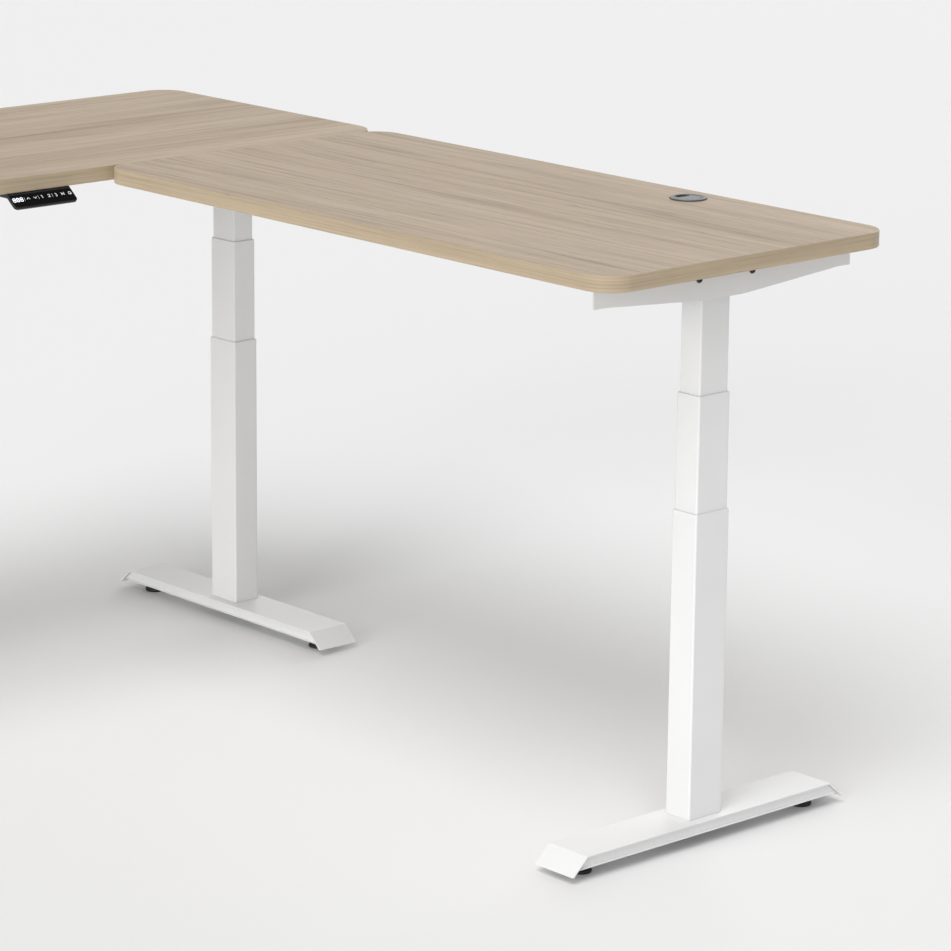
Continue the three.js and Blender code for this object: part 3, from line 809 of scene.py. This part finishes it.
def build_bracket(leg):
    node = f"{leg}_side_bracket"
    length, width, low, roof = sizes(node, leg)
    place = leg_place(leg)
    motor_height = centre_of(f"{leg}_motor").z
    slot = [(MOTOR_SHIFT - NOTCH_HALF, low), (MOTOR_SHIFT + NOTCH_HALF, low)]
    slot += arc((MOTOR_SHIFT, motor_height), NOTCH_HALF, 0, 180, 16)
    notch = moved(prism([slot], -2 * BRACKET_SHEET, 2 * BRACKET_SHEET), shift(y=width / 2) @ ALONG_Y)
    sheet = carved(bracket_sheet(length, width, roof - low, roof), [notch])
    add_piece(f"{node}_sheet", soften(sheet, 0.35 * MM), "white", node, replaces=[node], place=place)

    points = grid(BRACKET_SCREWS["x"], BRACKET_SCREWS["y"], roof - BRACKET_SHEET)
    add_screws(f"{node}_wood_screws", "bracket_screw", points, node, place)
    bolt = BRACKET_BOLT
    points = [(x, -width / 2, roof - bolt["below_roof"]) for x in (-bolt["offset"], bolt["offset"])]
    outwards = Matrix.Rotation(math.pi / 2, 4, "X")
    add_screws(f"{node}_gearbox_bolts", "gearbox_bolt", points, node, place, "black", outwards)


def build_gearbox(leg):
    node = f"{leg}_gearbox"
    length, width, low, high = sizes(node, leg)
    place = leg_place(leg)
    middle = place.inverted() @ centre_of(node)
    body = soften(plate(middle.xy, (length, width), 8 * MM, low + 2 * MM, high), 1.5 * MM)
    cover = soften(plate(middle.xy, (length - 6 * MM, width - 6 * MM), 6 * MM, low, low + 3 * MM), 0.6 * MM)
    add_piece(f"{node}_casting", joined([body, cover]), "aluminium", node, replaces=[node], place=place)
    x, y = length / 2 - 8 * MM, width / 2 - 8 * MM
    points = grid((-x, x), (-y, y), low, (middle.x, 0))
    add_screws(f"{node}_screws", "cover_screw", points, node, place)


def build_motor(leg):
    """A motor lying across the column: neck, rolled can, end bell with screws and a cable socket."""
    node = f"{leg}_motor"
    place = leg_place(leg)
    centre = place.inverted() @ centre_of(node)
    length = sizes(node, leg)[1]
    place = place @ shift(centre.x, centre.y - length / 2, centre.z) @ TOWARDS_Y
    bell = length - MOTOR_BELL
    neck = [(17, 0), (20, 0), (20, 7), (25.5, 7), (27.2, 8), (28, 9.8), (28, 18), (27.2, 18.8), (27.2, 21)]
    tail = [(28, -13), (27.4, -12), (27.4, -10), (28, -9), (28, -2), (26.4, 0), (10, 0)]
    can = turned(in_mm([*neck, (28, 21.8)]) + in_mm(tail, bell), steps=56)
    add_piece(f"{node}_can", can, "motor", node, replaces=[node], place=place)
    cap = [(21, -1), (22, 0.6), (22, 4), (20.6, 5.4), (10, 6), (9, 8.2), (8, 9), (2, 9)]
    end_bell = turned(in_mm(cap, bell), steps=48)
    socket = plate((0, -15 * MM), (15 * MM, 8 * MM), 1.2 * MM, bell + 2 * MM, length - 0.2 * MM)
    mouth = plate((0, -15 * MM), (11.5 * MM, 4.8 * MM), 0.8 * MM, length - 3 * MM, length + 1 * MM)
    socket = carved(soften(socket, 0.4 * MM), [mouth])
    add_piece(f"{node}_end_bell", joined([end_bell, socket]), "black", node, place=place)
    points = grid((-16 * MM, 16 * MM), (0,), bell + 5.3 * MM)
    add_screws(f"{node}_screws", "motor_screw", points, node, place, facing=Matrix.Identity(4))


def dress_node(node, material):
    """Gives a CAD node that stays a material of its own."""
    for material_slot in frame["nodes"][node].material_slots:
        material_slot.material = MATERIALS[material]


def build_leg(leg):
    for stage in ("outer", "middle", "inner"):
        build_tube(leg, stage)
    build_liner(leg, "outer", "middle")
    build_liner(leg, "middle", "inner")
    build_foot(leg)
    for end in ("a", "b"):
        build_glide(leg, end)
    build_bracket(leg)
    build_gearbox(leg)
    build_motor(leg)
    for hidden in ("nut_post", "hollow_spindle", "upper_screw"):
        dress_node(f"{leg}_{hidden}", "zinc")


# ---------------- frame under the boards


def build_rail(node, along):
    """A rail with plastic end plugs and screws up into the board; along is the axis of its length."""
    _, _, size, middle = extents(node)
    length, width = (size.x, size.y) if along == "x" else (size.y, size.x)
    place = shift(*middle) @ Matrix.Rotation(0 if along == "x" else math.pi / 2, 4, "Z")
    outer = rounded_rectangle((0, 0), width, size.z, RAIL_CORNER)
    trim = 2 * RAIL_WALL
    inner = rounded_rectangle((0, 0), width - trim, size.z - trim, RAIL_CORNER - RAIL_WALL)
    tube = moved(soften(sleeve(outer, inner, -length / 2, length / 2), 0.3 * MM), ALONG_X)
    add_piece(f"{node}_tube", tube, "white", node, replaces=[node], place=place)

    plugs = []
    plug_size = (width - trim - 0.2 * MM, size.z - trim - 0.2 * MM)
    for side in (-1, 1):
        plug = plate((0, 0), plug_size, 1.2 * MM, -4 * MM, 4 * MM)
        plugs.append(moved(soften(plug, 0.5 * MM), shift(x=side * (length / 2 - 5 * MM)) @ ALONG_X))
    add_piece(f"{node}_plugs", joined(plugs), "black", node, place=place)
    points = [(part * length, 0, -size.z / 2) for part in RAIL_SCREWS]
    add_screws(f"{node}_screws", "wood_screw", points, node, place)


def rail_clip(width, rail_height):
    """A cranked strip from under a rail's end up to the flange of the side bracket."""
    rise = rail_height - BRACKET_SHEET
    tight, wide = CLIP["bend"], CLIP["bend"] + CLIP["sheet"]

    def face(x, z, first_bend, second_bend):
        line = [(CLIP["under"], z), (x, z), (x, rise + z), (-CLIP["over"], rise + z)]
        return [line[0], *bend(*line[:3], first_bend), *bend(*line[1:], second_bend), line[3]]

    upper = face(-CLIP["riser"], 0, tight, wide)
    lower = face(-CLIP["riser"] - CLIP["sheet"], -CLIP["sheet"], wide, tight)
    strip = prism([upper + lower[::-1]], -width / 2, width / 2)
    return soften(moved(strip, ALONG_Y), 0.3 * MM)


def build_rail_clips(node, ends, turn):
    """Clips at some ends of a rail, with their screws; ends are -1 and 1, turn is the rail's direction."""
    low, _, size, middle = extents(node)
    length, width = (size.y, size.x) if turn else (size.x, size.y)
    solids, points = [], []
    for end in ends:
        facing = Matrix.Rotation(turn + (math.pi if end > 0 else 0), 4, "Z")
        place = shift(middle.x, middle.y, low.z) @ facing @ shift(x=-length / 2)
        solids.append(moved(rail_clip(width - 8 * MM, size.z), place))
        points += [place @ Vector((x, 0, -CLIP["sheet"])) for x in CLIP_SCREWS["under"]]
        points.append(place @ Vector((-CLIP_SCREWS["over"], 0, size.z - BRACKET_SHEET - CLIP["sheet"])))
    add_piece(f"{node}_clips", joined(solids), "white", node)
    add_screws(f"{node}_clip_screws", "clip_screw", points, node)


def build_rail_joint():
    node = "rail_joint_bracket"
    low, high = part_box(node)
    length = high.x - low.x
    inner_y, inner_z = high.y - JOINT_SHEET, low.z + JOINT_SHEET
    corners = [
        (high.y, low.z), (high.y, high.z), (inner_y, high.z), (inner_y, inner_z), (low.y, inner_z),
        (low.y, low.z),
    ]
    outline = bend(corners[-1], corners[0], corners[1], JOINT_SHEET) + corners[1:3]
    outline += bend(corners[2], corners[3], corners[4], 1 * MM) + corners[4:]
    angle = moved(prism([outline], -length / 2, length / 2), ALONG_X)
    place = shift(x=(low.x + high.x) / 2)
    add_piece(f"{node}_angle", soften(angle, 0.4 * MM), "white", node, replaces=[node], place=place)
    points = []
    for rail in ("return_rail_inner", "return_rail_outer"):
        points += grid((-JOINT_BOLTS, JOINT_BOLTS), (JOINT_BOLTS,), low.z, (centre_of(rail).x, low.y))
    add_screws(f"{node}_bolts", "joint_bolt", points, node)


def build_seam_plate(node):
    low, high, size, middle = extents(node)
    steel = plate(middle.xy, (size.x, size.y), 6 * MM, low.z, high.z)
    add_piece(f"{node}_steel", soften(steel, 0.4 * MM), "zinc", node, replaces=[node])
    points = grid(SEAM_SCREWS["x"], SEAM_SCREWS["y"], low.z, middle)
    add_screws(f"{node}_screws", "wood_screw", points, node)


def build_frame():
    for side in ("front", "back"):
        build_rail(f"main_rail_{side}", "x")
        build_rail_clips(f"main_rail_{side}", (-1, 1), 0.0)
    for side in ("inner", "outer"):
        build_rail(f"return_rail_{side}", "y")
        build_rail_clips(f"return_rail_{side}", (-1,), math.pi / 2)
    build_rail_joint()
    for index in (1, 2):
        build_seam_plate(f"seam_plate_{index}")


# ---------------- control box


def build_control_box():
    """A moulded case under the main board, with vents below and its sockets at the back."""
    node = "control_box"
    low, high, _, centre = extents(node)
    width = high.y - low.y
    ear_low = high.z - CASE_EAR["sheet"]
    profile = in_mm([(0, 0), (0, -11), (0.5, -11.3), (0.5, -12.2), (0, -12.5)], high.z)
    profile += in_mm([(0.3, 3), (1.2, 0.9), (3, 0)], low.z)
    rings = []
    for inset, height in profile:
        loop = rounded_rectangle(centre.xy, CASE_LENGTH - 2 * inset, width - 2 * inset, CASE_CORNER - inset)
        rings.append(level(loop, height))
    mouths, cores = [], []
    for x, mouth_width, mouth_height in SOCKETS:
        place = shift(centre.x + x, high.y, (low.z + ear_low) / 2)
        mouth = plate((0, 0), (mouth_width, mouth_height), 1.2 * MM, -14 * MM, 14 * MM)
        mouths.append(moved(mouth, place @ ALONG_Y))
        core = soften(plate((0, 0), (mouth_width * 0.6, mouth_height * 0.34), 0.8 * MM, 0, 9 * MM), 0.3 * MM)
        cores.append(moved(core, place @ shift(y=-5 * MM) @ ALONG_Y))
    vents = []
    for i in range(VENT["count"]):
        place = (centre.x + (i - VENT["count"] // 2) * VENT["pitch"], centre.y + VENT["shift"])
        vents.append(plate(place, VENT["size"], 1.1 * MM, low.z - 1 * MM, low.z + 1.6 * MM))
    case = carved(lofted(rings), mouths + vents)
    add_piece(f"{node}_case", soften(case, 0.25 * MM, 1, 50), "black", node, replaces=[node])
    add_piece(f"{node}_socket_cores", joined(cores), "grey", node)

    ears = plate(centre.xy, (high.x - low.x, CASE_EAR["width"]), 6 * MM, ear_low, high.z)
    add_piece(f"{node}_ears", soften(ears, 0.5 * MM), "black", node)
    x, y = CASE_SCREWS
    add_screws(f"{node}_screws", "case_screw", grid((-x, x), (-y, y), ear_low, centre), node)
    lamp = turned(in_mm([(2.4, 0), (2.4, 0.5), (1.6, 1.1), (0.5, 1.3)]), steps=24)
    place = shift(centre.x + CASE_LAMP[0], centre.y + CASE_LAMP[1], low.z + 0.1 * MM) @ UPSIDE_DOWN
    add_piece(f"{node}_lamp", lamp, "print", node, place=place)


# ---------------- handset


def face_place():
    """The frame of the handset's face: x to the right, y up the slope from its top edge, z out of it."""
    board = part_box("main_top")[0]
    centre = centre_of("handset_housing")
    return shift(centre.x, board.y - 0.3 * MM, board.z - 2 * MM) @ Matrix.Rotation(HANDSET_SLOPE, 4, "X")


def key_outline(size, grow=0.0):
    width, height = size
    return rounded_rectangle((0, 0), width + 2 * grow, height + 2 * grow, KEY_CORNER + grow, 5)


def face_outline(top, inset=0.0):
    """The face's outline, its two lower corners rounded, up to a line above its top edge."""
    half = HANDSET_WIDTH / 2 - inset
    radius = HANDSET_CORNER - inset
    centre_y = HANDSET_CORNER - HANDSET_FACE
    outline = [(half, top - inset), (-half, top - inset)]
    outline += arc((radius - half, centre_y), radius, 180, 270, 10)
    outline += arc((half - radius, centre_y), radius, 270, 360, 10)
    return outline


def face_pockets(face, key_places):
    """Cutters for the pockets of the keys and the display."""
    pockets = [
        moved(prism([key_outline(KEY_SIZE, KEY_GAP)], -POCKET_DEPTH, 2 * MM), place)
        for place in key_places.values()
    ]
    window = prism([key_outline(DISPLAY_SIZE, KEY_GAP)], -DISPLAY_THICKNESS - KEY_GAP, 2 * MM)
    return [*pockets, moved(window, display_place(face))]


def build_handset_housing(face, key_places):
    """A sloping plate on a flat base, a face panel, both with pockets for keys and display, and two ears."""
    node = "handset_housing"
    hinge = face @ Matrix.Rotation(-HANDSET_SLOPE, 4, "X")
    lip = Vector((-HANDSET_FACE * math.cos(HANDSET_SLOPE), -HANDSET_FACE * math.sin(HANDSET_SLOPE)))
    heel = lip + HANDSET_RIM * Vector((math.sin(HANDSET_SLOPE), -math.cos(HANDSET_SLOPE)))
    bottom = HANDSET_TOP - HANDSET_BASE
    elbow = (heel.x + (bottom - heel.y) / math.tan(HANDSET_SLOPE), bottom)
    section = [
        (0, 0), tuple(lip), tuple(heel), elbow, (HANDSET_DEPTH, bottom), (HANDSET_DEPTH, HANDSET_TOP),
        (2 * MM, HANDSET_TOP),
    ]
    body = moved(prism([section], -HANDSET_WIDTH / 2, HANDSET_WIDTH / 2), hinge @ ALONG_X)
    cutter = moved(prism([face_outline(HANDSET_DEPTH)], -2 * HANDSET_DEPTH, HANDSET_DEPTH), face)
    shell = soften(carved(body, [cutter], "INTERSECT"), 0.9 * MM, 3)
    panel = moved(prism([face_outline(0, HANDSET_BEZEL)], -0.5 * MM, PANEL_PROUD), face)

    shell = carved(shell, face_pockets(face, key_places))
    add_piece(f"{node}_shell", shell, "shell", node, replaces=[node])
    panel = carved(soften(panel, 0.12 * MM), face_pockets(face, key_places))
    add_piece(f"{node}_panel", panel, "gloss", node)

    ear_length, ear_width, ear_sheet = HANDSET_EAR
    ear_place = (0, HANDSET_DEPTH - ear_width / 2)
    ears = plate(ear_place, (ear_length, ear_width), 3 * MM, HANDSET_TOP - ear_sheet, HANDSET_TOP)
    add_piece(f"{node}_ears", soften(ears, 0.4 * MM), "black", node, place=hinge)
    screw_x = ear_length / 2 - 6 * MM
    points = grid((-screw_x, screw_x), ear_place[1:], HANDSET_TOP - ear_sheet)
    add_screws(f"{node}_screws", "handset_screw", points, node, hinge)


def display_place(face):
    centre = face.inverted() @ centre_of("handset_display")
    return face @ shift(centre.x, -KEY_ROW_BELOW)


def printed(shapes, height):
    return [prism([shape], height, height + PRINT_HEIGHT) for shape in shapes]


def symbol(shape):
    """A numeral or sign as one bent stroke, in millimetres."""
    return stroke(in_mm(shape), PRINT_STROKE)


def key_icons():
    """What is printed on each key."""
    bell = [(-2.7, -1.6), *arc((0, 0.7), 2.0, 180, 0, 10), (2.7, -1.6)]
    return {
        "key_up": [symbol([(-2.9, -1.6), (0, 1.7), (2.9, -1.6)])],
        "key_down": [symbol([(-2.9, 1.6), (0, -1.7), (2.9, 1.6)])],
        "key_memory_1": [symbol([(-1.5, 1.8), (0.3, 3.0), (0.3, -3.0)])],
        "key_memory_2": [symbol([*arc((0, 1.3), 1.7, 165, -35, 10), (-1.8, -2.6), (2.0, -2.6)])],
        "key_memory_3": [symbol(arc((0, 1.5), 1.4, 150, -75, 10) + arc((0, -1.4), 1.6, 75, -150, 10))],
        "key_memory_set": [symbol([(-2.4, -2.8), (-2.4, 2.6), (0, -0.8), (2.4, 2.6), (2.4, -2.8)])],
        "key_reminder": [symbol([*bell, bell[0], bell[1]]), symbol([(-0.8, -3.0), (0.8, -3.0)])],
    }


def build_key(node, place):
    """A key with a soft edge and its icon printed on it."""
    top = KEY_PROUD
    profile = in_mm([(0.2, 0), (0, 0.2)], top - KEY_THICKNESS)
    profile += in_mm([(0, -0.4), (0.12, -0.12), (0.4, 0)], top)
    rings = [level(key_outline(KEY_SIZE, -inset), height) for inset, height in profile]
    add_piece(f"{node}_cap", lofted(rings), "gloss", node, replaces=[node], place=place)
    add_piece(f"{node}_icon", joined(printed(key_icons()[node], top)), "print", node, place=place)


def segment_digit(x):
    """Seven bars that form an 8."""
    half_width, half_height, bar, gap = 2.2, 3.7, 1.25, 0.25
    across = stroke([(-half_width + gap, 0), (half_width - gap, 0)], bar)
    upright = stroke([(0, gap), (0, half_height - gap)], bar)
    bars = [[(px, py + y) for px, py in across] for y in (-half_height, 0, half_height)]
    bars += [
        [(px + side * half_width, py + y) for px, py in upright]
        for side in (-1, 1) for y in (-half_height, 0)
    ]
    lean = 0.09
    return [in_mm([(x + px + lean * py, py) for px, py in shape]) for shape in bars]


def build_display(face):
    node = "handset_display"
    place = display_place(face)
    inset = 0.3 * MM
    outer = key_outline(DISPLAY_SIZE)
    rings = [level(outer, -DISPLAY_THICKNESS), level(outer, -inset)]
    rings.append(level(key_outline(DISPLAY_SIZE, -inset), 0))
    add_piece(f"{node}_glass", lofted(rings), "window", node, replaces=[node], place=place)
    digits = [shape for x in (-7.1, 0, 7.1) for shape in segment_digit(x)]
    add_piece(f"{node}_digits", joined(printed(digits, 0)), "lit", node, place=place)


def build_separators(face, key_places):
    """Thin printed lines between the groups of keys."""
    pitch = centre_of("key_down").x - centre_of("key_up").x
    lines = []
    for node in ("key_up", "key_memory_1", "key_memory_3"):
        x = (face.inverted() @ key_places[node].translation).x - pitch / 2
        line = [(x, -KEY_ROW_BELOW + way * SEPARATOR_HEIGHT / 2) for way in (-1, 1)]
        lines.append(stroke(line, SEPARATOR_WIDTH))
    separators = joined(printed(lines, PANEL_PROUD))
    add_piece("handset_separators", separators, "print", "handset_housing", place=face)


def build_handset():
    face = face_place()
    key_places = {}
    for node in KEYS:
        centre = face.inverted() @ centre_of(node)
        key_places[node] = face @ shift(centre.x, -KEY_ROW_BELOW)
    build_handset_housing(face, key_places)
    for node, place in key_places.items():
        build_key(node, place)
    build_display(face)
    build_separators(face, key_places)


# ---------------- cable grommet


def build_grommet():
    low, high, _, centre = extents("grommet_ring")
    place = shift(centre.x, centre.y)
    board_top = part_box("return_top")[1].z
    flange = (high.x - low.x) / 2
    cap_low, cap_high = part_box("grommet_cap")
    seat = cap_low.z - 0.3 * MM
    edge = arc((flange - 1.4 * MM, high.z - 1.4 * MM), 1.4 * MM, 0, 90, 5)
    ring = in_mm([(23, 0), (24.4, 0), (25, 1)], low.z) + [(25 * MM, board_top + 0.3 * MM)]
    ring += [(flange - 0.3 * MM, board_top + 0.2 * MM), *edge]
    ring += in_mm([(23.7, 0), (23, -0.5)], high.z) + in_mm([(23, 0), (21, 0), (21, -1.5), (23, -2)], seat)
    ring = turned(ring, closed=True, steps=72)
    add_piece("grommet_ring_moulding", ring, "grey", "grommet_ring", replaces=["grommet_ring"], place=place)

    disc = in_mm([(22.2, 0), (22.7, 0.4)], cap_low.z)
    disc += in_mm([(22.7, -0.7), (22.5, -0.2), (21.9, 0), (20.1, 0), (19.6, -0.35)], cap_high.z)
    slot = plate((0, 23 * MM), (26 * MM, 30 * MM), 3 * MM, cap_low.z - 1 * MM, cap_high.z + 1 * MM)
    cap = soften(carved(turned(disc, steps=72), [slot]), 0.3 * MM)
    add_piece("grommet_cap_lid", cap, "grey", "grommet_cap", replaces=["grommet_cap"], place=place)


# ---------------- studio


def build_floor():
    loop = [(x * FLOOR_HALF, y * FLOOR_HALF) for x, y in ((-1, -1), (1, -1), (1, 1), (-1, 1))]
    mesh = bpy.data.meshes.new("floor")
    mesh.from_pydata(level(loop, 0), [], [(0, 1, 2, 3)])
    floor = in_scene("floor", mesh)
    paint = Shader("floor_paint", (0.88, 0.88, 0.88), 0.9, shine=0.1)
    mesh.materials.append(paint.material)


def build_light(name, azimuth, elevation, spread, strength):
    azimuth, elevation = math.radians(azimuth), math.radians(elevation)
    flat = math.cos(elevation)
    towards = Vector((flat * math.sin(azimuth), flat * math.cos(azimuth), math.sin(elevation)))
    lamp = bpy.data.lights.new(name, "SUN")
    lamp.energy = strength
    lamp.angle = math.radians(spread)
    in_scene(name, lamp).rotation_euler = towards.to_track_quat("Z", "Y").to_euler()


def build_camera():
    lens = bpy.data.cameras.new("camera")
    lens.lens = CAMERA_LENS_MM
    lens.sensor_width = CAMERA_SENSOR_MM
    lens.clip_end = 200
    camera = in_scene("camera", lens)
    turn = Matrix.Rotation(-CAMERA_AZIMUTH, 4, "Z") @ Matrix.Rotation(math.pi / 2 - CAMERA_TILT, 4, "X")
    camera.matrix_world = Matrix.Translation(CAMERA_PLACE) @ turn @ Matrix.Rotation(CAMERA_ROLL, 4, "Z")
    bpy.context.scene.camera = camera


def build_studio():
    build_camera()
    build_floor()
    for name, light in LIGHTS.items():
        build_light(name, *light)
    world = bpy.data.worlds.new("studio")
    world.use_nodes = True
    dome = world.node_tree.nodes["Background"]
    dome.inputs["Strength"].default_value = WORLD_STRENGTH
    dome.inputs["Color"].default_value = (1, 1, 1, 1)
    bpy.context.scene.world = world
    bpy.context.scene.view_settings.view_transform = "Standard"


build_studio()
build_boards()
for leg_name in LEG_TURN:
    build_leg(leg_name)
build_frame()
build_control_box()
build_handset()
build_grommet()
